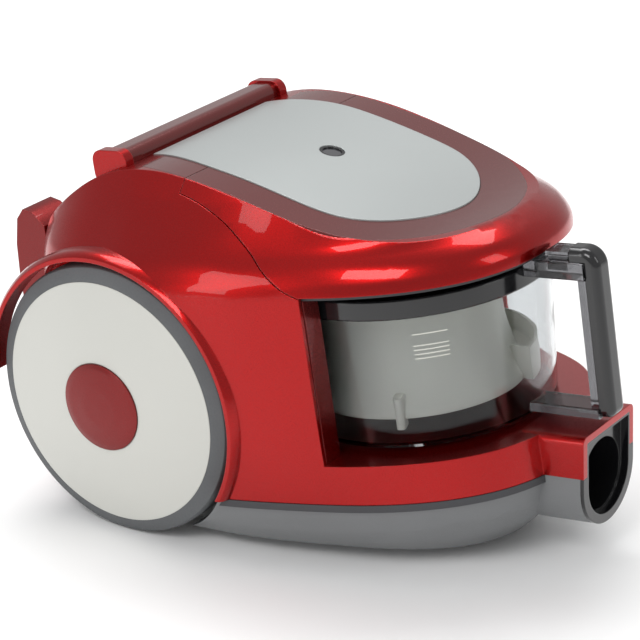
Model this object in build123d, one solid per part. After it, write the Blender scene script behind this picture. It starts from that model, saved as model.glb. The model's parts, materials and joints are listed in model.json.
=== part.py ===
"""Canister vacuum cleaner, one STEP file per node, millimetres, +Z up, front towards -Y.

The body is drawn upright and then pitched nose up about the wheel axle; wheels and castor stay level.
"""
import math
import os

from build123d import *

# ---- stance -------------------------------------------------------------------------------------
AXLE_Y = 104.0
AXLE_Z = 98.0
PITCH = 6.5
# brings the origin under the middle of the overall length
CENTRE_SHIFT = -2.0
BELLY_CLEARANCE = 9.0

# ---- shell --------------------------------------------------------------------------------------
WALL = 3.0
TOP_SKIN = 5.6
SEAM = 0.5
WAIST_Y = 40.0
BOTTOM_Z = 36.0
SILL_Z = 64.0
HOOD_Z = 181.0
FRONT_POWER = 2.35
REAR_POWER = 3.4
# height, half width at the hood, half width at the arches, front y, rear y
SECTIONS = (
    (BOTTOM_Z, 129.0, 136.0, -176.0, 193.0),
    (75.0, 131.0, 138.0, -174.0, 195.0),
    (130.0, 132.0, 139.0, -173.0, 196.0),
    (178.0, 131.5, 138.0, -173.5, 196.0),
    (190.0, 128.5, 135.5, -172.5, 195.0),
    (199.0, 123.5, 132.0, -165.0, 194.0),
    (206.0, 118.0, 127.5, -152.0, 193.0),
    (216.0, 113.0, 120.0, -147.5, 191.0),
    (236.0, 104.0, 106.5, -147.0, 187.0),
    (262.0, 96.0, 96.0, -147.0, 180.0),
)
# side view of the top, y and z
CREST = ((-200, 206), (-147, 206), (-130, 206.6), (-90, 213), (-50, 224.6), (-10, 238), (30, 249),
         (70, 254), (93, 252.5), (110, 248.5), (130, 240), (150, 228), (170, 213), (190, 195), (205, 180))
SEAM_LINE = ((36, 275), (36, 249), (39, 241), (18, 234), (-3, 223), (-34, 197), (-59, 181))

# ---- wheels -------------------------------------------------------------------------------------
TYRE_R = 98.0
DISC_R = 87.3
TYRE_FACE_X = 134.0
DISC_FACE_X = 138.4
HUB_FACE_X = 147.0
HUB_R = 31.5
WELL_R = 102.5
WELL_X = 105.0
LIP_R = 109.0
LIP_X = 140.0
LIP_END_Z = 112.0
AXLE_R = 5.0
AXLE_CLEAR = 0.05

# ---- castor -------------------------------------------------------------------------------------
CASTOR_Y = -88.0
CASTOR_R = 12.0
CASTOR_W = 14.0
CASTOR_TRAIL = 9.0
SWIVEL_R = 4.0
FORK_R = 22.0
FORK_TOP = 30.0

# ---- nozzle and inlet ---------------------------------------------------------------------------
NOZZLE_HALF = 33.4
NOZZLE_TOP = 65.0
NOZZLE_FRONT = -207.0
NOZZLE_CENTRE_Z = 26.0
NOZZLE_WALL = 5.0
INLET_R = 25.0
INLET_DEPTH = 62.0
SOCKET_RECESS = 6.0
LINER_WALL = 1.5
MOUTH_RIM = 2.5
DUCT_Z = 34.0

# ---- dust bin -----------------------------------------------------------------------------------
BIN_Y = -63.0
CUP_BASE_R = 90.0
CUP_TOP_R = 95.5
CUP_WALL = 2.4
CUP_Z = 65.6
RING_Z = 158.0
RING_TOP = 171.5
RING_R = 98.0
BAY_R = 101.5
BAY_WALL = 3.0
BAY_FRONT_Y = -60.0
PORT_R = 16.0
PORT_Y = 25.0
CYCLONE_X = -6.0
CYCLONE_R = 62.0
CYCLONE_WALL = 2.4
# reach from the cyclone axis, height above the skirt's lower edge
SKIRT_FLARE = ((74.0, 0.0), (74.0, 3.0), (70.5, 10.0), (67.0, 20.0), (64.0, 33.0), (62.5, 47.0), (CYCLONE_R, 58.0))
TRAY_X = 12.0
TRAY_R = 80.0
TRAY_Z = 83.0
TRAY_FLOOR = 90.0
TRAY_TOP = 106.0
PEG_TURN = -68.0
GRIP_FRONT = -214.5
GRIP_DEPTH = 10.0
GRIP_HALF = 9.0
GRIP_Z = 72.5
GRIP_TOP = 186.0
GRIP_ROUND = 5.5
BRACKET_HALF = 6.0

# ---- top furniture ------------------------------------------------------------------------------
PANEL_DEPTH = 2.5
PANEL_PROUD = 0.9
BAND_SPLIT_Y = 36.0
PANEL_LINE = ((0, -115), (37, -103), (60, -84), (72, -64), (75.5, -42), (76, -22), (76, 5), (75.5, 33),
              (71, 62), (64.8, 92))
BAND_LINE = ((0, -147.5), (30, -141), (52, -130), (70, -115), (86, -97), (96, -76), (100, -54), (101, -26),
             (100.5, 5), (99.5, 36), (96, 66), (92, 80))
INDICATOR_X = 4.0
INDICATOR_Y = -8.0
HANDLE_HALF = 92.0
RECESS_HALF = 82.0
DECK_HALF = 98.0
DECK_FRONT = 79.0
DECK_LOW = 200.0
BASE_HALF = 91.0
BASE_LOW = 208.0

# ---- motor, reel and exhaust --------------------------------------------------------------------
MOTOR_Z = 78.0
MOTOR_R = 50.0
MOTOR_FRONT = 52.0
MOTOR_REAR = 138.0
SHAFT_R = 4.0
RUN_CLEAR = 0.05
REEL_Y = 118.0
REEL_R = 66.0
REEL_Z = 141.0
REEL_H = 42.0
REEL_AXLE_R = 8.0
EXHAUST_HALF = 52.0
EXHAUST_LOW = 52.0
EXHAUST_HIGH = 128.0
BUTTON_X = 46.0
FOOT_IN = 62.0
FOOT_OUT = 92.0
FOOT_BACK = 213.0
FOOT_GAP = 0.08


def tilt(shape):
    """Pitch a body shape nose up about the wheel axle."""
    about = Location((0, AXLE_Y, AXLE_Z))
    return about * Rotation(-PITCH, 0, 0) * about.inverse() * shape


def untilt(shape):
    """Put a level shape into the upright body's own frame."""
    about = Location((0, AXLE_Y, AXLE_Z))
    return about * Rotation(PITCH, 0, 0) * about.inverse() * shape


def box(x0, x1, y0, y1, z0, z1):
    centre = Pos((x0 + x1) / 2, (y0 + y1) / 2, (z0 + z1) / 2)
    return centre * Box(x1 - x0, y1 - y0, z1 - z0)


def rod(radius, x, y, z0, z1):
    """Upright cylinder."""
    return Pos(x, y, (z0 + z1) / 2) * Cylinder(radius, z1 - z0)


def rod_x(radius, x0, x1, y, z):
    return Pos((x0 + x1) / 2, y, z) * Rot(0, 90, 0) * Cylinder(radius, abs(x1 - x0))


def rod_y(radius, x, y0, y1, z):
    return Pos(x, (y0 + y1) / 2, z) * Rot(90, 0, 0) * Cylinder(radius, abs(y1 - y0))


def ring(outer, inner, x, y, z0, z1):
    return rod(outer, x, y, z0, z1) - rod(inner, x, y, z0 - 1, z1 + 1)


def ring_x(outer, inner, x0, x1, y, z):
    return rod_x(outer, x0, x1, y, z) - rod_x(inner, x0 - 1, x1 + 1, y, z)


def ring_y(outer, inner, x, y0, y1, z):
    return rod_y(outer, x, y0, y1, z) - rod_y(inner, x, y0 - 1, y1 + 1, z)


def both(shape):
    """The shape and its mirror image across the centre plane."""
    return [shape, mirror(shape, about=Plane.YZ)]


def smooth(t):
    t = min(1.0, max(0.0, t))
    return t * t * (3 - 2 * t)


def outline_points(section, inset, steps=8):
    """Half of one body section from front centre to rear centre."""
    height, half, arch, front, rear = section
    points = []
    for i in range(2 * steps + 1):
        angle = math.pi * i / (2 * steps)
        if i <= steps:
            power = 2 / FRONT_POWER
            reach = front + inset
        else:
            power = 2 / REAR_POWER
            reach = rear - inset
        y = WAIST_Y + (reach - WAIST_Y) * abs(math.cos(angle)) ** power
        width = half + (arch - half) * smooth((y + 50) / 90) - inset
        x = width * abs(math.sin(angle)) ** power
        if i == 2 * steps:
            x = 0.0
        points.append((x, y))
    return points


def section_face(section, inset=0.0, chunks=8):
    """Closed body outline at one height, drawn as tangent-matched curves."""
    right = outline_points(section, inset)
    loop = right + [(-x, y) for x, y in reversed(right[1:-1])]
    count = len(loop)
    size = count // chunks

    def tangent(i):
        before, after = loop[(i - 1) % count], loop[(i + 1) % count]
        return after[0] - before[0], after[1] - before[1]

    edges = []
    for start in range(0, count, size):
        points = [loop[(start + j) % count] for j in range(size + 1)]
        edges.append(Spline(*points, tangents=(tangent(start), tangent(start + size))))
    return Pos(0, 0, section[0]) * make_face(edges)


def crest_prism(drop=0.0, low=-60.0):
    """Everything under the top surface, lowered by drop."""
    top = [(y, z - drop) for y, z in CREST]
    edge = Spline(*top)
    sides = Polyline(top[-1], (top[-1][0] + 40, top[-1][1] - 60), (top[-1][0] + 40, low), (top[0][0] - 40, low),
                     (top[0][0] - 40, top[0][1]), top[0])
    face = make_face(edge + sides)
    return extrude(Plane.YZ * face, amount=160, both=True)


def shoulder_sections():
    """The sections with a rounded one put between each pair above the waist."""
    rows = [SECTIONS[0]]
    for i in range(1, len(SECTIONS)):
        low, high = SECTIONS[i - 1], SECTIONS[i]
        if 1 < i < len(SECTIONS) - 1 and low[0] > 150:
            before, after = SECTIONS[i - 2], SECTIONS[i + 1]
            rows.append(tuple((9 * (b + c) - a - d) / 16 for a, b, c, d in zip(before, low, high, after)))
        rows.append(high)
    return rows


def envelope(inset=0.0, drop=0.0):
    body = loft([section_face(s, inset) for s in shoulder_sections()], ruled=True)
    return body & crest_prism(drop)


def slab(z0, z1, inset=0.0):
    """Horizontal slice of the body outline."""
    height = (z0 + z1) / 2
    lower = max(s for s in SECTIONS if s[0] <= height)
    upper = min(s for s in SECTIONS if s[0] > height)
    share = (height - lower[0]) / (upper[0] - lower[0])
    blend = tuple(a + (b - a) * share for a, b in zip(lower, upper))
    return Pos(0, 0, z0 - height) * extrude(section_face(blend, inset), amount=z1 - z0)


def hood_prism(shift=0.0):
    line = [(y + shift, z - shift) for y, z in SEAM_LINE]
    curve = Spline(*line[2:])
    rest = Polyline(line[-1], (-230, line[-1][1]), (-230, 275), line[0], line[1], line[2])
    return extrude(Plane.YZ * make_face(curve + rest), amount=160, both=True)


def plan_prism(line, z0, z1, inset=0.0):
    """Prism over a mirrored plan outline whose half is given front to back."""
    right = [(max(0.0, x - inset), y + inset * (1 if y < -100 else 0)) for x, y in line]
    left = [(-x, y) for x, y in reversed(right[1:])]
    curve = Spline(*(left + right))
    close = Line(right[-1], left[0])
    face = make_face(curve + close)
    return extrude(Pos(0, 0, z0) * face, amount=z1 - z0)


def revolve_x(profile, y=AXLE_Y, z=AXLE_Z):
    """Turn a profile given as (x, radius) about the wheel axle line."""
    face = make_face(Polyline(*profile, close=True))
    return Pos(0, y, z) * revolve(face, Axis.X)


def wheel_wells(radius=WELL_R, inner=WELL_X):
    return both(rod_x(radius, inner, 160, AXLE_Y, AXLE_Z))


def cut_all(shape, tools):
    for tool in tools:
        shape = shape - tool
    return shape


def join(shapes):
    whole = shapes[0]
    for other in shapes[1:]:
        whole = whole + other
    return whole


NODES = {}


def keep(name, *shapes):
    moved = [Pos(0, CENTRE_SHIFT, 0) * s for shape in shapes for s in shape.solids()]
    NODES[name] = Compound(children=moved)


# ---- shared volumes -----------------------------------------------------------------------------
OUTER = envelope()
INNER = envelope(WALL, TOP_SKIN)
HOOD = hood_prism()
HOOD_GAP = hood_prism(SEAM)
MOUTH = box(-160, 160, -230, BAY_FRONT_Y, SILL_Z, HOOD_Z + 0.1)


def nozzle_block(inset, z0, z1, y0=-230.0, y1=-120.0):
    """D-shaped nozzle section, square at the top and round below."""
    half = NOZZLE_HALF - inset
    top = NOZZLE_TOP - inset
    arc = ThreePointArc((-half, NOZZLE_CENTRE_Z), (0, NOZZLE_CENTRE_Z - half), (half, NOZZLE_CENTRE_Z))
    rest = Polyline((half, NOZZLE_CENTRE_Z), (half, top), (-half, top), (-half, NOZZLE_CENTRE_Z))
    face = make_face(arc + rest)
    solid = extrude(Plane.XZ * face, amount=-(y1 - y0))
    solid = Pos(0, y0, 0) * solid
    solid = fillet(solid.edges().filter_by(Axis.Y).group_by(Axis.Z)[-1], max(1.0, 5.0 - inset))
    return solid & box(-60, 60, y0, y1, z0, z1)


BEYOND_NOZZLE = untilt(box(-60, 60, -300, NOZZLE_FRONT, -60, 160))
NOZZLE_BODY = nozzle_block(0, -60, 100) - BEYOND_NOZZLE
NOZZLE_CORE = nozzle_block(NOZZLE_WALL, -60, 100, -235, -110)
MOUTH_BAND = untilt(box(-60, 60, NOZZLE_FRONT, NOZZLE_FRONT + MOUTH_RIM, -60, 160))
UPPER_HALF = box(-200, 200, -300, 300, BOTTOM_Z, 300)
LOWER_HALF = box(-200, 200, -300, 300, -100, BOTTOM_Z)
WELLS = wheel_wells()
LINERS = wheel_wells(WELL_R + 2.5, WELL_X - 2.5)
SKIN = OUTER - INNER
POCKET = plan_prism(BAND_LINE, 150, 300) - crest_prism(PANEL_DEPTH)
PANEL_POCKET = plan_prism(PANEL_LINE, 150, 300) - crest_prism(PANEL_DEPTH)
HANDLE_BAR = fillet(box(-84, 84, 96, 120, 244, 262).edges().filter_by(Axis.X), 7)
LUG = fillet(box(84, HANDLE_HALF, 93, 123, 239, 263.5).edges().filter_by(Axis.X), 8)
DECK_BUTTON = Rot(-40, 0, 0)
EXHAUST_WINDOW = box(-EXHAUST_HALF, EXHAUST_HALF, 150, 240, EXHAUST_LOW - 2, EXHAUST_HIGH)


def deck_button(side, radius, low, high):
    """Disc set square to the rear deck."""
    disc = Pos(0, 0, (low + high) / 2) * Cylinder(radius, high - low)
    return Pos(side * BUTTON_X, 170, 213) * DECK_BUTTON * disc


# ---- red lower body -----------------------------------------------------------------------------
def body_shell():
    shell = SKIN - HOOD_GAP - MOUTH
    sill = slab(SILL_Z - WALL, SILL_Z) & box(-160, 160, -230, 20, 0, 300)
    recess = box(-RECESS_HALF, RECESS_HALF, 97, 152, 212, 300)
    tub = box(-RECESS_HALF - 2.5, RECESS_HALF + 2.5, 94.5, 154.5, 209.5, 300) & OUTER
    shell = shell + sill + tub
    liner = join(LINERS) & OUTER & UPPER_HALF
    shell = shell + liner
    lip = [(126, WELL_R), (LIP_X, WELL_R), (LIP_X, WELL_R + 3), (LIP_X - 2, LIP_R - 1.5), (LIP_X - 6, LIP_R),
           (126, LIP_R)]
    arch = revolve_x(lip) & (box(0, 200, -10, AXLE_Y, BOTTOM_Z, 300) + box(0, 200, AXLE_Y, 300, LIP_END_Z, 300))
    for side in both(arch):
        shell = shell + side
    for boss in both(rod_x(11, 92, 103, AXLE_Y, AXLE_Z)):
        shell = shell + boss
    roof = NOZZLE_BODY & box(-60, 60, -230, -157, BOTTOM_Z, 100)
    shell = shell + roof - (NOZZLE_CORE & box(-60, 60, -300, -110, BOTTOM_Z - 1, SILL_Z - WALL - 0.1))
    shell = shell - (NOZZLE_CORE & box(-60, 60, -300, -172, BOTTOM_Z - 1, 100))
    shell = cut_all(shell, WELLS) - recess - EXHAUST_WINDOW - POCKET - PANEL_POCKET - HANDLE_BAR
    shell = cut_all(shell, both(LUG)) - rod(PORT_R + 2.2, 0, BIN_Y + PORT_Y, 50, 70)
    shell = cut_all(shell, [deck_button(side, 12.6, -30, 30) for side in (-1, 1)])
    shell = cut_all(shell, both(rod_x(AXLE_R, 80, 150, AXLE_Y, AXLE_Z)))
    return shell - rod_y(9, -30, 150, 240, 150)


WHOLE_SHELL = body_shell()
DECK_ZONE = box(-DECK_HALF, DECK_HALF, DECK_FRONT, 300, DECK_LOW, 400)
BASE_ZONE = box(-BASE_HALF, BASE_HALF, -200, DECK_FRONT, BASE_LOW, 400)
FEET_SIDE = ((180, 205), (189, 214), (198, 216.5), (205, 209), (210, 190), (FOOT_BACK, 162), (FOOT_BACK, 120),
             (205, 108), (180, 108))
FOOT = extrude(Plane.YZ * make_face(Polyline(*FEET_SIDE, close=True)), amount=FOOT_OUT)
FOOT = FOOT & box(FOOT_IN, FOOT_OUT, 150, 300, 0, 300)
SEAT = envelope(-FOOT_GAP)
FEET = [max((side - SEAT).solids(), key=lambda s: s.volume) for side in both(FOOT)]
keep("body_shell", tilt(WHOLE_SHELL - DECK_ZONE - BASE_ZONE))
keep("panel_base", tilt(max((WHOLE_SHELL & BASE_ZONE).solids(), key=lambda s: s.volume)))
keep("rear_deck", tilt(WHOLE_SHELL & DECK_ZONE))
keep("rear_feet", *[tilt(f) for f in FEET])

# ---- hood, trim and panel -----------------------------------------------------------------------
HOOD_SHELL = (SKIN & HOOD) - POCKET - PANEL_POCKET
keep("front_hood", tilt(HOOD_SHELL))
TRIM = ((plan_prism(BAND_LINE, 150, 300) - plan_prism(PANEL_LINE, 150, 300)) & OUTER) - crest_prism(PANEL_DEPTH)
keep("trim_frame_front", tilt(TRIM & box(-200, 200, -300, BAND_SPLIT_Y - 0.3, 0, 400)))
keep("trim_frame_rear", tilt((TRIM & box(-200, 200, BAND_SPLIT_Y + 0.3, 300, 0, 400)) - HANDLE_BAR))
WINDOW = rod(8.6, INDICATOR_X, INDICATOR_Y, 150, 300)
PANEL = plan_prism(PANEL_LINE, 150, 300, 0.2) & (crest_prism(-PANEL_PROUD) - crest_prism(PANEL_DEPTH))
keep("top_panel", tilt(PANEL - WINDOW - HANDLE_BAR))
GLASS_LAYER = crest_prism(0.6) - crest_prism(PANEL_DEPTH)
keep("indicator_bezel", tilt(ring(8.6, 6.6, INDICATOR_X, INDICATOR_Y, 150, 300)
                             & (crest_prism(-0.4) - crest_prism(PANEL_DEPTH))))
keep("indicator_window", tilt(rod(6.6, INDICATOR_X, INDICATOR_Y, 150, 300) & GLASS_LAYER))
keep("carry_handle", tilt(HANDLE_BAR))
keep("handle_lugs", *[tilt(s) for s in both(LUG)])

# ---- inside of the body -------------------------------------------------------------------------
BAY_BACK = ring(BAY_R + BAY_WALL, BAY_R, 0, BAY_FRONT_Y, SILL_Z, HOOD_Z - 3)
BAY_BACK = BAY_BACK & box(-200, 200, BAY_FRONT_Y, 60, 0, 300)
JAMBS = (slab(SILL_Z, 178, 4.2) & box(-200, 200, BAY_FRONT_Y, BAY_FRONT_Y + 3, SILL_Z, HOOD_Z - 3))
JAMBS = JAMBS - rod(BAY_R + 1, 0, BAY_FRONT_Y, 0, 300)
keep("bin_bay_wall", tilt(BAY_BACK + JAMBS))
DECK = slab(HOOD_Z - 3, HOOD_Z - 0.4, 4.2) & box(-200, 200, -230, 26, 0, 300)
keep("motor_filter_sponge", tilt(fillet(box(-52, 52, -106, -26, 180.6, 194).edges().filter_by(Axis.Z), 8)))
FRAME = fillet(box(-56, 56, -110, -22, 180.6, 190).edges().filter_by(Axis.Z), 10)
FRAME = FRAME - fillet(box(-52, 52, -106, -26, 170, 200).edges().filter_by(Axis.Z), 8)
keep("filter_deck", tilt(DECK - rod(30, 0, BIN_Y, 0, 300) + FRAME))

# ---- inlet --------------------------------------------------------------------------------------
FACE_DEPTH = SOCKET_RECESS + 4
SOCKET_FRONT = untilt(box(-60, 60, NOZZLE_FRONT + SOCKET_RECESS, NOZZLE_FRONT + FACE_DEPTH, -60, 160))
SOCKET_FRONT = SOCKET_FRONT & NOZZLE_CORE
LINER = NOZZLE_CORE - nozzle_block(NOZZLE_WALL + LINER_WALL, -60, 100, -235, -110)
LINER = LINER & untilt(box(-60, 60, NOZZLE_FRONT, NOZZLE_FRONT + FACE_DEPTH, -60, 160))
SOCKET_FRONT = SOCKET_FRONT + LINER + ((NOZZLE_BODY & LOWER_HALF & MOUTH_BAND) - NOZZLE_CORE)
TUBE_END = NOZZLE_FRONT + INLET_DEPTH
SOCKET = SOCKET_FRONT + (rod_y(INLET_R + 2.8, 0, -220, TUBE_END + 3, NOZZLE_CENTRE_Z) - untilt(
    box(-60, 60, -300, NOZZLE_FRONT + SOCKET_RECESS, -60, 160)))
SOCKET = SOCKET - rod_y(INLET_R, 0, -230, TUBE_END, NOZZLE_CENTRE_Z) - rod_y(PORT_R, 0, TUBE_END - 5, -100, DUCT_Z)
keep("inlet_socket", tilt(SOCKET))
PORT_AT = BIN_Y + PORT_Y
DUCT = rod_y(PORT_R + 2, 0, TUBE_END + 5, PORT_AT + 18, DUCT_Z) + rod(PORT_R + 2, 0, PORT_AT, DUCT_Z, SILL_Z - 0.2)
DUCT = DUCT - rod_y(PORT_R, 0, TUBE_END, PORT_AT + 16, DUCT_Z) - rod(PORT_R, 0, PORT_AT, DUCT_Z, 80)
keep("inlet_duct", tilt(DUCT))
INLET_GASKET = ring_y(PORT_R + 4, PORT_R, 0, TUBE_END + 3, TUBE_END + 5, DUCT_Z)
PORT_GASKET = ring(PORT_R + 6, PORT_R, 0, PORT_AT, SILL_Z, SILL_Z + 0.9)
keep("duct_gaskets", tilt(INLET_GASKET), tilt(PORT_GASKET))

# ---- dust bin -----------------------------------------------------------------------------------
def turned(profile, x=0.0, y=BIN_Y):
    """Turn a profile of (radius, height) about an upright line."""
    face = make_face(Polyline(*profile, close=True))
    return Pos(x, y, 0) * revolve(Plane.XZ * face, Axis.Z)


CUP = turned(((0, CUP_Z), (CUP_BASE_R - 3, CUP_Z), (CUP_BASE_R, CUP_Z + 3), (CUP_TOP_R, RING_Z),
              (CUP_TOP_R - CUP_WALL, RING_Z), (CUP_BASE_R - CUP_WALL, CUP_Z + 4), (0, CUP_Z + CUP_WALL)))
CUP = CUP + rod(PORT_R + 2.2, 0, PORT_AT, CUP_Z, TRAY_Z - 1) - rod(PORT_R, 0, PORT_AT, 50, 130)
keep("bin_cup", tilt(CUP))
RIM = turned(((RING_R - 1, RING_Z), (RING_R, RING_Z + 1), (RING_R, RING_TOP - 1), (RING_R - 1, RING_TOP),
              (30, RING_TOP), (30, RING_TOP - 2.5), (CUP_TOP_R - 3, RING_TOP - 2.5), (CUP_TOP_R - 3, RING_Z)))
keep("bin_ring", tilt(RIM))
keep("bin_seal", tilt(ring(CUP_TOP_R - 3, 86, 0, BIN_Y, RING_Z, RING_Z + 2)))
SKIRT = [(reach, TRAY_Z + rise) for reach, rise in SKIRT_FLARE] + [(CYCLONE_R, RING_Z)]
FLARE = turned(SKIRT + [(x - CYCLONE_WALL, z) for x, z in reversed(SKIRT)], CYCLONE_X)
TRAY = ring(TRAY_R, TRAY_R - CYCLONE_WALL, 0, BIN_Y, TRAY_Z, TRAY_TOP)
TRAY = TRAY + rod(TRAY_R, 0, BIN_Y, TRAY_FLOOR, TRAY_FLOOR + CYCLONE_WALL)
TRAY = TRAY + box(TRAY_X, TRAY_X + CYCLONE_WALL, BIN_Y - TRAY_R + 1, BIN_Y, TRAY_Z, TRAY_TOP)
TRAY = TRAY & box(TRAY_X, 200, BIN_Y - TRAY_R, BIN_Y + 40, 0, 300)
CORE = turned([(0, TRAY_Z)] + SKIRT + [(0, RING_Z)], CYCLONE_X)
PEG = fillet(box(-3, 3, -84, -71, TRAY_Z - 6, TRAY_Z + 16).edges().filter_by(Axis.Z), 2.5)
CYCLONE = FLARE + (TRAY - CORE) + rod(91.0, 0, BIN_Y, RING_Z - CYCLONE_WALL, RING_Z)
CYCLONE = CYCLONE + ((Pos(0, BIN_Y, 0) * Rot(0, 0, PEG_TURN) * PEG) - CORE)
CYCLONE = CYCLONE - rod(CYCLONE_R - CYCLONE_WALL, CYCLONE_X, BIN_Y, 90, RING_Z + 1)
keep("cyclone_body", tilt(CYCLONE))
GRILLE = ring(30, 28, 0, BIN_Y, 116, RING_TOP - 2.5) + rod(30, 0, BIN_Y, 114, 116)
GRILLE = GRILLE + ring(58, 30, 0, BIN_Y, 165, 166.5)
SLOTS = [Pos(0, BIN_Y, 0) * Rot(0, 0, 15 * i) * box(20, 40, -1.6, 1.6, 122, 158) for i in range(24)]
keep("cyclone_grille", tilt(cut_all(GRILLE, SLOTS)))

CUP_SOLID = turned(((0, CUP_Z), (CUP_BASE_R - 3, CUP_Z), (CUP_BASE_R, CUP_Z + 3), (CUP_TOP_R, RING_Z),
                    (0, RING_Z)))
BLOCK = fillet(box(-11, 11, GRIP_FRONT + GRIP_DEPTH, BIN_Y, 165, 177).edges().filter_by(Axis.Y), 1.5)
COLUMN = box(-BRACKET_HALF, BRACKET_HALF, GRIP_FRONT + GRIP_DEPTH, -197, GRIP_Z, 170)
FOOT_BAR = fillet(box(-11, 11, GRIP_FRONT + GRIP_DEPTH, BIN_Y, 69.5, 76.5).edges().filter_by(Axis.Y), 1.5)
BRACKET = BLOCK + COLUMN + FOOT_BAR - CUP_SOLID - rod(RING_R, 0, BIN_Y, 100, 300)
BUTTON_WELL = box(-7.4, 7.4, -192.4, -177.6, 171, 200)
BRACKET = BRACKET - BUTTON_WELL
keep("handle_bracket", tilt(BRACKET))
GRIP = box(-GRIP_HALF, GRIP_HALF, GRIP_FRONT, GRIP_FRONT + GRIP_DEPTH, GRIP_Z - 3, GRIP_TOP)
GRIP = GRIP + box(-GRIP_HALF, GRIP_HALF, GRIP_FRONT, -194, 177, GRIP_TOP)
FRONT_CORNERS = GRIP.edges().filter_by(Axis.X).group_by(Axis.Y)[0]
GRIP = fillet(FRONT_CORNERS.sort_by(Axis.Z)[-1], 13)
GRIP = fillet(GRIP.edges().filter_by(Axis.X).group_by(Axis.Y)[0].sort_by(Axis.Z)[0], 6)
OUTER_EDGES = [e for e in GRIP.edges() if abs(abs(e.center().X) - GRIP_HALF) < 0.01 and
               (e.center().Y < GRIP_FRONT + 6 or e.center().Z > GRIP_TOP - 2)]
GRIP = fillet(OUTER_EDGES, GRIP_ROUND)
keep("handle_grip", tilt(GRIP))
RELEASE = box(-7, 7, -192, -178, 174.4, 180.4) + box(-8.6, 8.6, -193.6, -176.6, 180.4, 183.4)
keep("bin_release_button", tilt(RELEASE))

# ---- chassis ------------------------------------------------------------------------------------
BELLY = ((31.0, 1.2), (14.0, 8.0), (0.0, 20.0), (-20.0, 44.0))


def bowl(inset, floor):
    base = SECTIONS[0]
    faces = [Pos(0, 0, z - BOTTOM_Z) * section_face(base, step + inset) for z, step in BELLY]
    hollow = loft(faces, ruled=True)
    level = untilt(box(-200, 200, -300, 300, floor, 300))
    return hollow & level


def world_posts(radius, z0, z1):
    return [rod(radius, x, y, z0, z1) for x in (-58, 58) for y in (-30, 44)]


TRAY_SKIN = bowl(0, BELLY_CLEARANCE) - bowl(WALL, BELLY_CLEARANCE + WALL)
RIM_WALL = extrude(section_face(SECTIONS[0], 4.4), amount=-8) - extrude(section_face(SECTIONS[0], 7.4), amount=-8)
NOZZLE_UNDER = (NOZZLE_BODY & LOWER_HALF & box(-60, 60, -230, -140, -60, 100)) - MOUTH_BAND
CHASSIS = TRAY_SKIN + RIM_WALL + NOZZLE_UNDER
WELL_FLOOR = bowl(0, BELLY_CLEARANCE) + extrude(section_face(SECTIONS[0], 1.2), amount=-6)
CHASSIS = CHASSIS + (join(LINERS) & WELL_FLOOR)
for saddle_y in (60, 128):
    CHASSIS = CHASSIS + (box(-26, 26, saddle_y, saddle_y + 6, -20, 44) & bowl(1, BELLY_CLEARANCE + 1))
CHASSIS = CHASSIS - rod_y(58, 0, 59, 67, MOTOR_Z) - rod_y(56, 0, 127, 135, MOTOR_Z)
CHASSIS = cut_all(CHASSIS, WELLS) - (NOZZLE_CORE & box(-60, 60, -300, -130, -60, 100))
LEVEL = tilt(CHASSIS) + join(world_posts(6, BELLY_CLEARANCE + 1, 26))
LEVEL = cut_all(LEVEL, world_posts(4, BELLY_CLEARANCE - 1, BELLY_CLEARANCE + 2.8))
LEVEL = cut_all(LEVEL, world_posts(1.8, BELLY_CLEARANCE, 24)) - rod(26, 0, CASTOR_Y, 0, FORK_TOP + 3.5)
STRIP_OUT = extrude(section_face(SECTIONS[0], -0.6), amount=-5)
STRIP = STRIP_OUT - extrude(section_face(SECTIONS[0], 4.4), amount=-5) - NOZZLE_BODY - bowl(-0.1, 0)
keep("chassis", LEVEL)
keep("bumper_strip", tilt(cut_all(STRIP, wheel_wells(WELL_R + 2.6, WELL_X - 2.6))))
keep("case_screws", *[a + b for a, b in zip(world_posts(4, BELLY_CLEARANCE + 0.3, BELLY_CLEARANCE + 2.8),
                                            world_posts(1.8, BELLY_CLEARANCE + 2.8, 24))])
CLIP = box(-17, 17, 66, 96, 5.5, BELLY_CLEARANCE) - box(-7, 7, 60, 88, 0, 20)
keep("parking_clip", CLIP)

# ---- castor -------------------------------------------------------------------------------------
WHEEL_AT = CASTOR_Y + CASTOR_TRAIL
SOCKET_CUP = rod(26, 0, CASTOR_Y, BELLY_CLEARANCE, FORK_TOP + 3.5) - rod(23.5, 0, CASTOR_Y, 0, FORK_TOP + 0.5)
keep("castor_socket", SOCKET_CUP - rod(SWIVEL_R + RUN_CLEAR, 0, CASTOR_Y, 0, 50))
CHEEK = box(8, 10.6, WHEEL_AT - 7, WHEEL_AT + 7, CASTOR_R - 5, FORK_TOP - 2)
CHEEK = fillet(CHEEK.edges().filter_by(Axis.X).group_by(Axis.Z)[0], 4.5)
FORK = rod(FORK_R, 0, CASTOR_Y, FORK_TOP - 3, FORK_TOP) + rod(SWIVEL_R, 0, CASTOR_Y, FORK_TOP - 1, FORK_TOP + 5.5)
FORK = join([FORK] + both(CHEEK)) - rod_x(2, -20, 20, WHEEL_AT, CASTOR_R)
keep("castor_fork", FORK)
keep("castor_pin", rod_x(2, -11.2, 11.2, WHEEL_AT, CASTOR_R))
ROLLER = fillet(rod_x(CASTOR_R, -CASTOR_W / 2, CASTOR_W / 2, WHEEL_AT, CASTOR_R).edges(), 1.5)
keep("castor_wheel", ROLLER - rod_x(2 + RUN_CLEAR, -20, 20, WHEEL_AT, CASTOR_R))

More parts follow.
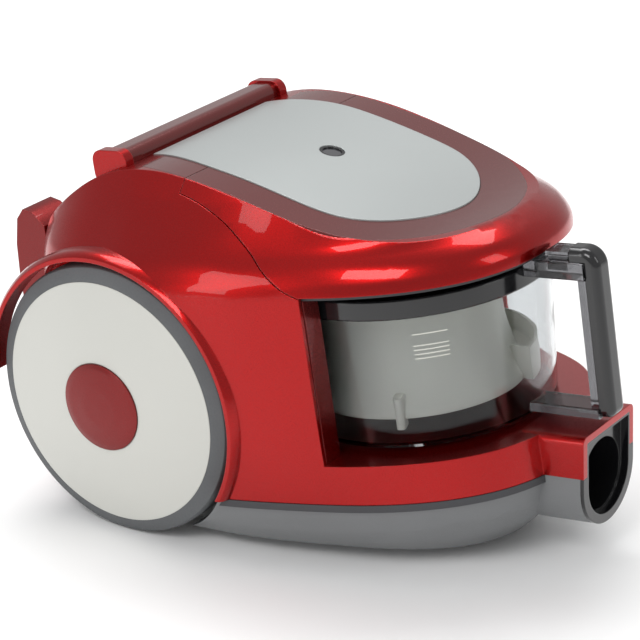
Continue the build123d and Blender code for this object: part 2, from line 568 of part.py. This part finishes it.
# ---- wheels -------------------------------------------------------------------------------------
TYRE = revolve_x(((113, DISC_R), (138.2, DISC_R), (137.6, 89.5), (TYRE_FACE_X + 0.6, 96.6), (132, TYRE_R),
                  (118, TYRE_R), (113, 94)))
BORE = AXLE_R + AXLE_CLEAR
DISC = revolve_x(((113, BORE), (113, 13), (138.5, 13), (140.5, 33), (138, 60), (135, 83), (113, 83), (113, DISC_R),
                  (DISC_FACE_X, DISC_R), (141.6, 68), (144.3, 48), (146, HUB_R + 0.2), (143, HUB_R + 0.2),
                  (143, 10), (138.6, 10), (138.6, BORE)))
CAP = revolve_x(((143, 0), (143, HUB_R), (HUB_FACE_X, HUB_R), (148, 27), (149.2, 14), (149.5, 0)))
AXLE = rod_x(AXLE_R, 92, 141.5, AXLE_Y, AXLE_Z)
CLIP_RING = ring_x(8.5, AXLE_R, 139.2, 140.6, AXLE_Y, AXLE_Z)
for name, shape in (("tyre", TYRE), ("wheel_disc", DISC), ("hub_cap", CAP), ("wheel_axle", AXLE)):
    left, right = both(shape)
    keep(name + "_left", left)
    keep(name + "_right", right)
keep("axle_retainers", *both(CLIP_RING))

# ---- motor --------------------------------------------------------------------------------------
FAN_COVER = ring_y(54, 51, 0, MOTOR_FRONT, 84, MOTOR_Z) + ring_y(54, 22, 0, MOTOR_FRONT, MOTOR_FRONT + 3, MOTOR_Z)
keep("fan_cover", tilt(FAN_COVER))
CASING = ring_y(MOTOR_R, 47, 0, 84, MOTOR_REAR, MOTOR_Z) + ring_y(54, SHAFT_R + RUN_CLEAR, 0, 84, 87, MOTOR_Z)
CASING = CASING + ring_y(MOTOR_R, SHAFT_R + RUN_CLEAR, 0, MOTOR_REAR - 3, MOTOR_REAR, MOTOR_Z)
VENT = rod_y(7, 30, MOTOR_REAR - 5, MOTOR_REAR + 5, 0)
VENTS = [Pos(0, 0, MOTOR_Z) * Rot(0, 45 * i, 0) * VENT for i in range(8)]
keep("motor_housing", tilt(cut_all(CASING, VENTS)))
keep("motor_mounts", tilt(ring_y(58, 54, 0, 60, 66, MOTOR_Z)), tilt(ring_y(56, MOTOR_R, 0, 128, 134, MOTOR_Z)))
keep("motor_stator", tilt(ring_y(47, 30, 0, 94, 126, MOTOR_Z)))
ROTOR = rod_y(SHAFT_R, 0, 60, MOTOR_REAR + 2, MOTOR_Z) + rod_y(28, 0, 96, 124, MOTOR_Z)
keep("motor_armature", tilt(ROTOR))
FAN = ring_y(46, 18, 0, 60, 61.5, MOTOR_Z) + ring_y(46, SHAFT_R, 0, 72, 74, MOTOR_Z)
FAN = FAN + ring_y(9, SHAFT_R, 0, 62, 74, MOTOR_Z)
BLADES = [Pos(0, 0, MOTOR_Z) * Rot(0, 360 / 9 * i, 0) * box(20, 45, 61, 73, -1, 1) for i in range(9)]
keep("suction_fan", tilt(join([FAN] + BLADES)))

# ---- cord reel ----------------------------------------------------------------------------------
LEVER_X = 76.0
LEVER_Y = 148.0
PLATE = fillet(box(-100, 100, 84, 156, 137, 139.5).edges().filter_by(Axis.Z), 6)
PLATE = PLATE + rod(REEL_AXLE_R, 0, REEL_Y, 139, 190) + rod(2.5, LEVER_X, LEVER_Y, 139, 170)
keep("reel_bracket", tilt(PLATE))
DRUM = rod(26, 0, REEL_Y, REEL_Z, REEL_Z + REEL_H) + rod(REEL_R, 0, REEL_Y, REEL_Z, REEL_Z + 2)
DRUM = DRUM + rod(REEL_R, 0, REEL_Y, REEL_Z + REEL_H - 2, REEL_Z + REEL_H)
keep("reel_drum", tilt(DRUM - rod(REEL_AXLE_R + RUN_CLEAR, 0, REEL_Y, 100, 250)))
keep("reel_spring_case", tilt(rod(24, 0, REEL_Y, 184, 192) - rod(REEL_AXLE_R, 0, REEL_Y, 180, 190)))
LEVER = rod(6, LEVER_X, LEVER_Y, 158, 166) + box(LEVER_X - 2.5, LEVER_X + 2.5, 100, LEVER_Y, 158, 166)
LEVER = LEVER + rod(5, LEVER_X - 1, 100, 158, 166) - rod(2.5 + RUN_CLEAR, LEVER_X, LEVER_Y, 100, 200)
keep("brake_lever", tilt(LEVER))
keep("cord_outlet_gland", tilt(ring_y(9, 4.5, -30, 188, 197.5, 150) + ring_y(12, 4.5, -30, 196.4, 199, 150)))
BOARD = box(-96, -94.4, 70, 140, 38, 84) + box(-94.4, -84, 80, 96, 50, 70) + box(-94.4, -88, 104, 130, 46, 78)
keep("control_board", tilt(BOARD))

# ---- exhaust ------------------------------------------------------------------------------------
BEZEL = box(-56, 56, 168, 188, 47, 131) - box(-49, 49, 160, 200, 55, 123) - box(-52, 52, 186, 200, 46, 127)
keep("exhaust_frame", tilt(BEZEL))
PLEATS = box(-49, 49, 170, 182, 55, 123)
PLEATS = cut_all(PLEATS, [box(-49 + 7 * i + 2, -49 + 7 * i + 5, 176, 190, 58, 120) for i in range(14)])
keep("exhaust_filter", tilt(PLEATS))
HINGE_Y = 191.6
HINGE_Z = 55.0
COVER = SKIN & box(-EXHAUST_HALF + 0.6, EXHAUST_HALF - 0.6, 150, 240, 53, EXHAUST_HIGH - 0.6)
COVER = COVER + rod_x(2.6, -49, 49, HINGE_Y, HINGE_Z)
COVER = cut_all(COVER, [box(-40, 40, 180, 240, 66 + 8 * i, 69 + 8 * i) for i in range(7)])
keep("exhaust_cover", tilt(COVER))

# ---- deck buttons -------------------------------------------------------------------------------
for side, name in ((-1, "power_button"), (1, "rewind_button")):
    knob = deck_button(side, 12, -8, 2.5)
    knob = fillet(knob.edges().group_by(Axis.Z)[-1], 1)
    keep(name, tilt(knob))

os.makedirs("parts", exist_ok=True)
for name, shape in NODES.items():
    export_step(shape, f"parts/{name}.step")
print(len(NODES), "nodes")
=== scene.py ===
import json
import math

import bmesh
import bpy
from mathutils import Matrix, Vector

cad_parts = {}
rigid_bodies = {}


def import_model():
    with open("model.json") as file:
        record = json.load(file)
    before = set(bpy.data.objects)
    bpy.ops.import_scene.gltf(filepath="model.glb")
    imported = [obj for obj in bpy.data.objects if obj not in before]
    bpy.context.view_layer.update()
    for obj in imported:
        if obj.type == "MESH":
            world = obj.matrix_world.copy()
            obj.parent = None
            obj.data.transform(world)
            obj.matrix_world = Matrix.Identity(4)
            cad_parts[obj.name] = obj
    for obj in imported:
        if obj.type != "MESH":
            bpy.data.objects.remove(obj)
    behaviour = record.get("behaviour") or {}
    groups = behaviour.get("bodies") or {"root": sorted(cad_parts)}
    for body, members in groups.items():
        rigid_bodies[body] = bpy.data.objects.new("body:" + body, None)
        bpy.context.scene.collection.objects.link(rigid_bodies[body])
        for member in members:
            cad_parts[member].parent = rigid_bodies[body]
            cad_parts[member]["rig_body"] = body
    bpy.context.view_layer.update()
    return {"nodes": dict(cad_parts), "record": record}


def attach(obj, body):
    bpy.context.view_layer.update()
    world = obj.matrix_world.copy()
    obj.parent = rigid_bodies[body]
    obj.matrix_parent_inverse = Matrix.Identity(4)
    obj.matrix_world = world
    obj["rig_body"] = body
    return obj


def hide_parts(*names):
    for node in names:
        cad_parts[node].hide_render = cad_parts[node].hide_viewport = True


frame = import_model()
NODES = frame["nodes"]

# ---- view, in metres, in the machine's own frame -------------------------------------------------
CAMERA_AIM = Vector((-0.0457, -0.0123, 0.1484))
CAMERA_AZIMUTH = math.radians(-53.57)
CAMERA_ELEVATION = math.radians(22.84)
CAMERA_ROLL = math.radians(-2.96)
CAMERA_DISTANCE = 1.626
CAMERA_LENS = 134.97

# ---- floor and finish ---------------------------------------------------------------------------
# edges that turn less than this are shaded as one curve
SMOOTH_ANGLE = math.radians(32)
WELD_DISTANCE = 2e-6
EDGE_SAMPLES = 4
GRAIN_DEPTH = 0.0004
FLAKE_SCALE = 2600.0
LACQUER_EDGE = 0.0009
LACQUER_COAT = 0.65
LACQUER_COAT_IOR = 1.42
COAT_ROUGHNESS = 0.03
TINY_EDGE = 1e-7
WORLD_STRENGTH = 0.54
FLOOR_REACH = 14.0
FLOOR_SIDES = 48
FLOOR_DROP = 0.0002

# ---- the machine's own measures, upright ---------------------------------------------------------
PITCH = math.radians(6.5)
AXLE = Vector((0, 0.102, 0.098))
BIN_Y = -0.065
BAY_OUTER = 0.1055
CUP_BASE = 0.090
CUP_RIM = 0.0955
CUP_LOW = 0.0686
CUP_HIGH = 0.158
FILL_HEIGHTS = (0.146, 0.138, 0.135, 0.132, 0.129)
FILL_START = math.radians(43)
FILL_END = math.radians(57)
FILL_STEPS = 10
# a fill line's section, as height and how far it stands proud of the cup
FILL_SECTION = ((-0.0004, 0.00005), (-0.0002, 0.00035), (0.0002, 0.00035), (0.0004, 0.00005))


def tilted(x, y, z):
    """A point of the upright body, pitched nose up about the wheel axle."""
    turn = Matrix.Rotation(-PITCH, 3, "X")
    return AXLE + turn @ (Vector((x, y, z)) - AXLE)


# ---- materials ----------------------------------------------------------------------------------
def new_material(name):
    material = bpy.data.materials.new(name)
    material.use_nodes = True
    tree = material.node_tree
    return material, tree.nodes, tree.links, tree.nodes["Principled BSDF"]


def noise(nodes, links, scale, detail=3.0, roughness=0.55):
    place = nodes.new("ShaderNodeTexCoord")
    pattern = nodes.new("ShaderNodeTexNoise")
    pattern.inputs["Scale"].default_value = scale
    pattern.inputs["Detail"].default_value = detail
    pattern.inputs["Roughness"].default_value = roughness
    links.new(place.outputs["Object"], pattern.inputs["Vector"])
    return pattern


def ramp(nodes, links, source, low, high, start=0.3, end=0.7):
    mix = nodes.new("ShaderNodeValToRGB")
    mix.color_ramp.elements[0].position = start
    mix.color_ramp.elements[1].position = end
    mix.color_ramp.elements[0].color = low
    mix.color_ramp.elements[1].color = high
    links.new(source, mix.inputs["Fac"])
    return mix


def softened(nodes, radius):
    """Normals rounded over the shape's edges."""
    soften = nodes.new("ShaderNodeBevel")
    soften.samples = EDGE_SAMPLES
    soften.inputs["Radius"].default_value = radius
    return soften.outputs["Normal"]


def grey(value):
    return (value, value, value, 1.0)


def shaded(colour, factor):
    return tuple(min(1.0, c * factor) for c in colour) + (1.0,)


def plastic(name, colour, roughness, spread=0.05, grain=900.0, bump=0.04, cloud=9.0, coat=0.0, metallic=0.0,
            edge=0.0006, tone=0.07):
    """Moulded plastic: slow tone change, fine grain in roughness and bump, softened edges."""
    material, nodes, links, shader = new_material(name)
    slow = noise(nodes, links, cloud, 2.0)
    tint = ramp(nodes, links, slow.outputs["Fac"], shaded(colour, 1 - tone), shaded(colour, 1 + tone))
    links.new(tint.outputs["Color"], shader.inputs["Base Color"])
    fine = noise(nodes, links, grain, 4.0)
    smoothest = grey(max(0.0, roughness - spread))
    gloss = ramp(nodes, links, fine.outputs["Fac"], smoothest, grey(roughness + spread))
    links.new(gloss.outputs["Color"], shader.inputs["Roughness"])
    relief = nodes.new("ShaderNodeBump")
    relief.inputs["Strength"].default_value = bump
    relief.inputs["Distance"].default_value = GRAIN_DEPTH
    links.new(fine.outputs["Fac"], relief.inputs["Height"])
    if edge:
        links.new(softened(nodes, edge), relief.inputs["Normal"])
    links.new(relief.outputs["Normal"], shader.inputs["Normal"])
    shader.inputs["Metallic"].default_value = metallic
    shader.inputs["Coat Weight"].default_value = coat
    shader.inputs["Coat Roughness"].default_value = COAT_ROUGHNESS
    return material


def lacquer(name, colour, metallic, roughness, flake=0.1):
    """Metallic flake paint under a clear coat."""
    material, nodes, links, shader = new_material(name)
    place = nodes.new("ShaderNodeTexCoord")
    flakes = nodes.new("ShaderNodeTexVoronoi")
    flakes.inputs["Scale"].default_value = FLAKE_SCALE
    links.new(place.outputs["Object"], flakes.inputs["Vector"])
    slow = noise(nodes, links, 6.0, 2.0)
    base = ramp(nodes, links, slow.outputs["Fac"], shaded(colour, 0.93), shaded(colour, 1.06))
    mix = nodes.new("ShaderNodeMix")
    mix.data_type = "RGBA"
    mix.blend_type = "MULTIPLY"
    mix.inputs["Factor"].default_value = flake
    links.new(base.outputs["Color"], mix.inputs["A"])
    links.new(flakes.outputs["Color"], mix.inputs["B"])
    links.new(mix.outputs["Result"], shader.inputs["Base Color"])
    gloss = ramp(nodes, links, flakes.outputs["Distance"],
                 grey(roughness - 0.04), grey(roughness + 0.06), 0.1, 0.9)
    links.new(gloss.outputs["Color"], shader.inputs["Roughness"])
    edges = softened(nodes, LACQUER_EDGE)
    links.new(edges, shader.inputs["Normal"])
    links.new(edges, shader.inputs["Coat Normal"])
    shader.inputs["Metallic"].default_value = metallic
    shader.inputs["Coat Weight"].default_value = LACQUER_COAT
    shader.inputs["Coat Roughness"].default_value = 0.02
    shader.inputs["Coat IOR"].default_value = LACQUER_COAT_IOR
    return material


def clear_plastic(name, colour, roughness=0.02, ior=1.3):
    """See-through moulding with a faint uneven tint."""
    material, nodes, links, shader = new_material(name)
    slow = noise(nodes, links, 12.0, 2.0)
    tint = ramp(nodes, links, slow.outputs["Fac"], shaded(colour, 0.95), shaded(colour, 1.03))
    links.new(tint.outputs["Color"], shader.inputs["Base Color"])
    fine = noise(nodes, links, 300.0, 3.0)
    gloss = ramp(nodes, links, fine.outputs["Fac"], grey(roughness), grey(roughness + 0.03))
    links.new(gloss.outputs["Color"], shader.inputs["Roughness"])
    shader.inputs["Transmission Weight"].default_value = 1.0
    shader.inputs["IOR"].default_value = ior
    return material


def metal(name, colour, roughness):
    """Turned metal with fine uneven marks."""
    material, nodes, links, shader = new_material(name)
    brushed = noise(nodes, links, 400.0, 2.0)
    tint = ramp(nodes, links, brushed.outputs["Fac"], shaded(colour, 0.9), shaded(colour, 1.08))
    links.new(tint.outputs["Color"], shader.inputs["Base Color"])
    gloss = ramp(nodes, links, brushed.outputs["Fac"], grey(roughness - 0.06), grey(roughness + 0.1))
    links.new(gloss.outputs["Color"], shader.inputs["Roughness"])
    shader.inputs["Metallic"].default_value = 1.0
    return material


LOOKS = {
    "red_gloss": lacquer("red_lacquer", (0.40, 0.0004, 0.0004), 0.92, 0.27),
    # a darker copy of the red lacquer; on the bin bay's jambs it is painted shade of the recess
    "red_deep": lacquer("red_deep_lacquer", (0.20, 0.001, 0.001), 0.80, 0.24),
    "maroon_gloss": lacquer("maroon_lacquer", (0.13, 0.010, 0.009), 0.40, 0.22, 0.05),
    "silver_satin": plastic("silver_satin", (0.45, 0.475, 0.47), 0.34, 0.05, 1500, 0.03, 5,
                            metallic=0.55, edge=0.0008, tone=0.03),
    "grey_matt": plastic("grey_textured", (0.19, 0.195, 0.20), 0.55, 0.08, 1100, 0.25),
    "dark_grey": plastic("dark_textured", (0.045, 0.045, 0.05), 0.5, 0.08, 1100, 0.2),
    "wheel_light": plastic("wheel_satin", (0.60, 0.60, 0.56), 0.38, 0.05, 1300, 0.05, 6,
                           edge=0.0008, tone=0.025),
    "tyre": plastic("tyre_rubber", (0.11, 0.115, 0.12), 0.72, 0.1, 700, 0.35, 14, tone=0.12),
    "black_gloss": plastic("piano_black", (0.008, 0.008, 0.009), 0.16, 0.03, 500, 0.01,
                           coat=0.35, edge=0.001),
    "clear_cup": clear_plastic("smoky_clear", (0.77, 0.79, 0.80)),
    "clear_dark": clear_plastic("smoky_clear_thick", (0.16, 0.16, 0.17), 0.03, 1.45),
    "warm_grey": plastic("cyclone_grey", (0.78, 0.78, 0.71), 0.42, 0.06, 900, 0.08, tone=0.04),
    "foam": plastic("foam", (0.10, 0.10, 0.10), 0.95, 0.03, 260, 1.0, edge=0.0),
    "seal": plastic("seal_rubber", (0.025, 0.025, 0.025), 0.6, 0.08, 600, 0.1),
    "steel": metal("turned_steel", (0.55, 0.55, 0.56), 0.32),
    "board": plastic("circuit_board", (0.02, 0.14, 0.06), 0.4, 0.1, 200, 0.1),
    "paper": plastic("filter_paper", (0.82, 0.81, 0.77), 0.9, 0.05, 500, 0.5),
    "window": plastic("dark_window", (0.03, 0.03, 0.035), 0.08, 0.03, 400, 0.0, coat=1.0),
}
SLOT_OF = {row["node"]: row["material_slot"] for row in frame["record"]["subparts"]}
LOOK_OF = {"bin_release_button": "clear_dark", "handle_bracket": "clear_dark", "hub_cap_left": "red_deep",
           "hub_cap_right": "red_deep", "rear_feet": "red_deep"}


# ---- pieces -------------------------------------------------------------------------------------
def finished_copy(node):
    """The node's shape with its seams welded, its curves shaded smooth and its creases kept sharp."""
    source = NODES[node]
    mesh = source.data.copy()
    work = bmesh.new()
    work.from_mesh(mesh)
    bmesh.ops.remove_doubles(work, verts=work.verts, dist=WELD_DISTANCE)
    bmesh.ops.dissolve_degenerate(work, edges=work.edges, dist=TINY_EDGE)
    for face in work.faces:
        face.smooth = True
    for edge in work.edges:
        edge.smooth = len(edge.link_faces) == 2 and edge.calc_face_angle(0) < SMOOTH_ANGLE
    work.to_mesh(mesh)
    work.free()
    if "custom_normal" in mesh.attributes:
        mesh.attributes.remove(mesh.attributes["custom_normal"])
    mesh.materials.clear()
    mesh.materials.append(LOOKS[LOOK_OF.get(node, SLOT_OF[node])])
    piece = bpy.data.objects.new(node + "_finished", mesh)
    bpy.context.scene.collection.objects.link(piece)
    body = source["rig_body"]
    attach(piece, body)
    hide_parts(node)
    weighted = piece.modifiers.new("even_normals", "WEIGHTED_NORMAL")
    weighted.keep_sharp = True
    return piece


def fill_lines():
    """Five fine raised lines moulded on the cup's outer face."""
    work = bmesh.new()
    for height in FILL_HEIGHTS:
        rows = []
        for i in range(FILL_STEPS + 1):
            angle = FILL_START + (FILL_END - FILL_START) * i / FILL_STEPS
            row = []
            for rise, proud in FILL_SECTION:
                z = height + rise
                reach = CUP_BASE + (CUP_RIM - CUP_BASE) * (z - CUP_LOW) / (CUP_HIGH - CUP_LOW) + proud
                across, along = -reach * math.sin(angle), BIN_Y - reach * math.cos(angle)
                row.append(work.verts.new(tilted(across, along, z)))
            rows.append(row)
        for before, after in zip(rows, rows[1:]):
            for j in range(len(FILL_SECTION) - 1):
                work.faces.new((before[j], after[j], after[j + 1], before[j + 1]))
    mesh = bpy.data.meshes.new("cup_fill_lines")
    bmesh.ops.recalc_face_normals(work, faces=work.faces)
    work.to_mesh(mesh)
    work.free()
    mesh.materials.append(LOOKS["warm_grey"])
    lines = bpy.data.objects.new("cup_fill_lines", mesh)
    bpy.context.scene.collection.objects.link(lines)
    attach(lines, "dust_bin")


def paint_jamb_shade(bay):
    """The two faces beside the bin's mouth get a darker red than the shell, as painted shade of the recess;
    the rest of the bay is dark.
    """
    bay.data.materials.append(LOOKS["red_deep"])
    for face in bay.data.polygons:
        x, y, _ = face.center
        # faces beyond the bay's outer wall are the jambs, which get the darker red as painted shade
        if math.hypot(x, y - BIN_Y) > BAY_OUTER:
            face.material_index = 1


PIECES = {node: finished_copy(node) for node in sorted(NODES)}
paint_jamb_shade(PIECES["bin_bay_wall"])
fill_lines()


# ---- camera, floor and lights -------------------------------------------------------------------
# each light's name, place, aim, size in metres and power in watts
LIGHTS = (
    ("key_softbox", (-1.5, -0.3, 1.7), (0, 0, 0.12), (0.9, 0.6), 12.5),
    ("front_softbox", (0.3, -1.9, 1.3), (0, 0, 0.12), (0.5, 1.0), 5),
    ("top_softbox", (0.2, 0.7, 2.0), (0, 0.05, 0.1), (1.6, 0.5), 6),
    ("side_strip", (-1.5, 0.6, 0.55), (0, 0, 0.12), (0.25, 0.9), 2.5),
    ("floor_wash", (1.0, 0.8, 2.6), (1.5, 1.2, 0.0), (2.4, 1.6), 62),
)


def add_camera():
    back = Vector((math.sin(CAMERA_AZIMUTH) * math.cos(CAMERA_ELEVATION),
                   -math.cos(CAMERA_AZIMUTH) * math.cos(CAMERA_ELEVATION), math.sin(CAMERA_ELEVATION)))
    right = (-back).cross(Vector((0, 0, 1))).normalized()
    up = right.cross(-back)
    across = right * math.cos(CAMERA_ROLL) + up * math.sin(CAMERA_ROLL)
    above = -right * math.sin(CAMERA_ROLL) + up * math.cos(CAMERA_ROLL)
    data = bpy.data.cameras.new("camera")
    data.sensor_width = 36.0
    data.lens = CAMERA_LENS
    data.clip_end = 30
    camera = bpy.data.objects.new("camera", data)
    bpy.context.scene.collection.objects.link(camera)
    place = CAMERA_AIM + back * CAMERA_DISTANCE
    camera.matrix_world = Matrix((
        (across.x, above.x, back.x, place.x),
        (across.y, above.y, back.y, place.y),
        (across.z, above.z, back.z, place.z),
        (0, 0, 0, 1)))
    bpy.context.scene.camera = camera


def add_floor():
    """A wide flat pale floor just under the tyres."""
    work = bmesh.new()
    ring = []
    for i in range(FLOOR_SIDES):
        angle = 2 * math.pi * i / FLOOR_SIDES
        x, y = FLOOR_REACH * math.cos(angle), FLOOR_REACH * math.sin(angle)
        ring.append(work.verts.new((x, y, -FLOOR_DROP)))
    work.faces.new(ring)
    mesh = bpy.data.meshes.new("floor")
    work.to_mesh(mesh)
    work.free()
    mesh.materials.append(plastic("pale_floor", (0.95, 0.95, 0.95), 0.55, 0.05, 60, 0.02, 3,
                                  edge=0.0, tone=0.01))
    floor = bpy.data.objects.new("floor", mesh)
    bpy.context.scene.collection.objects.link(floor)


def add_light(name, place, aim, size, power):
    data = bpy.data.lights.new(name, "AREA")
    data.shape = "RECTANGLE"
    data.size, data.size_y = size
    data.energy = power
    light = bpy.data.objects.new(name, data)
    light.location = place
    light.rotation_euler = (Vector(aim) - Vector(place)).to_track_quat("-Z", "Y").to_euler()
    bpy.context.scene.collection.objects.link(light)


def add_world():
    world = bpy.data.worlds.new("studio")
    world.use_nodes = True
    background = world.node_tree.nodes["Background"]
    background.inputs["Color"].default_value = (1.0, 1.0, 1.0, 1.0)
    background.inputs["Strength"].default_value = WORLD_STRENGTH
    bpy.context.scene.world = world


add_camera()
add_floor()
for name, place, aim, size, power in LIGHTS:
    add_light(name, place, aim, size, power)
add_world()
bpy.context.scene.view_settings.view_transform = "Standard"
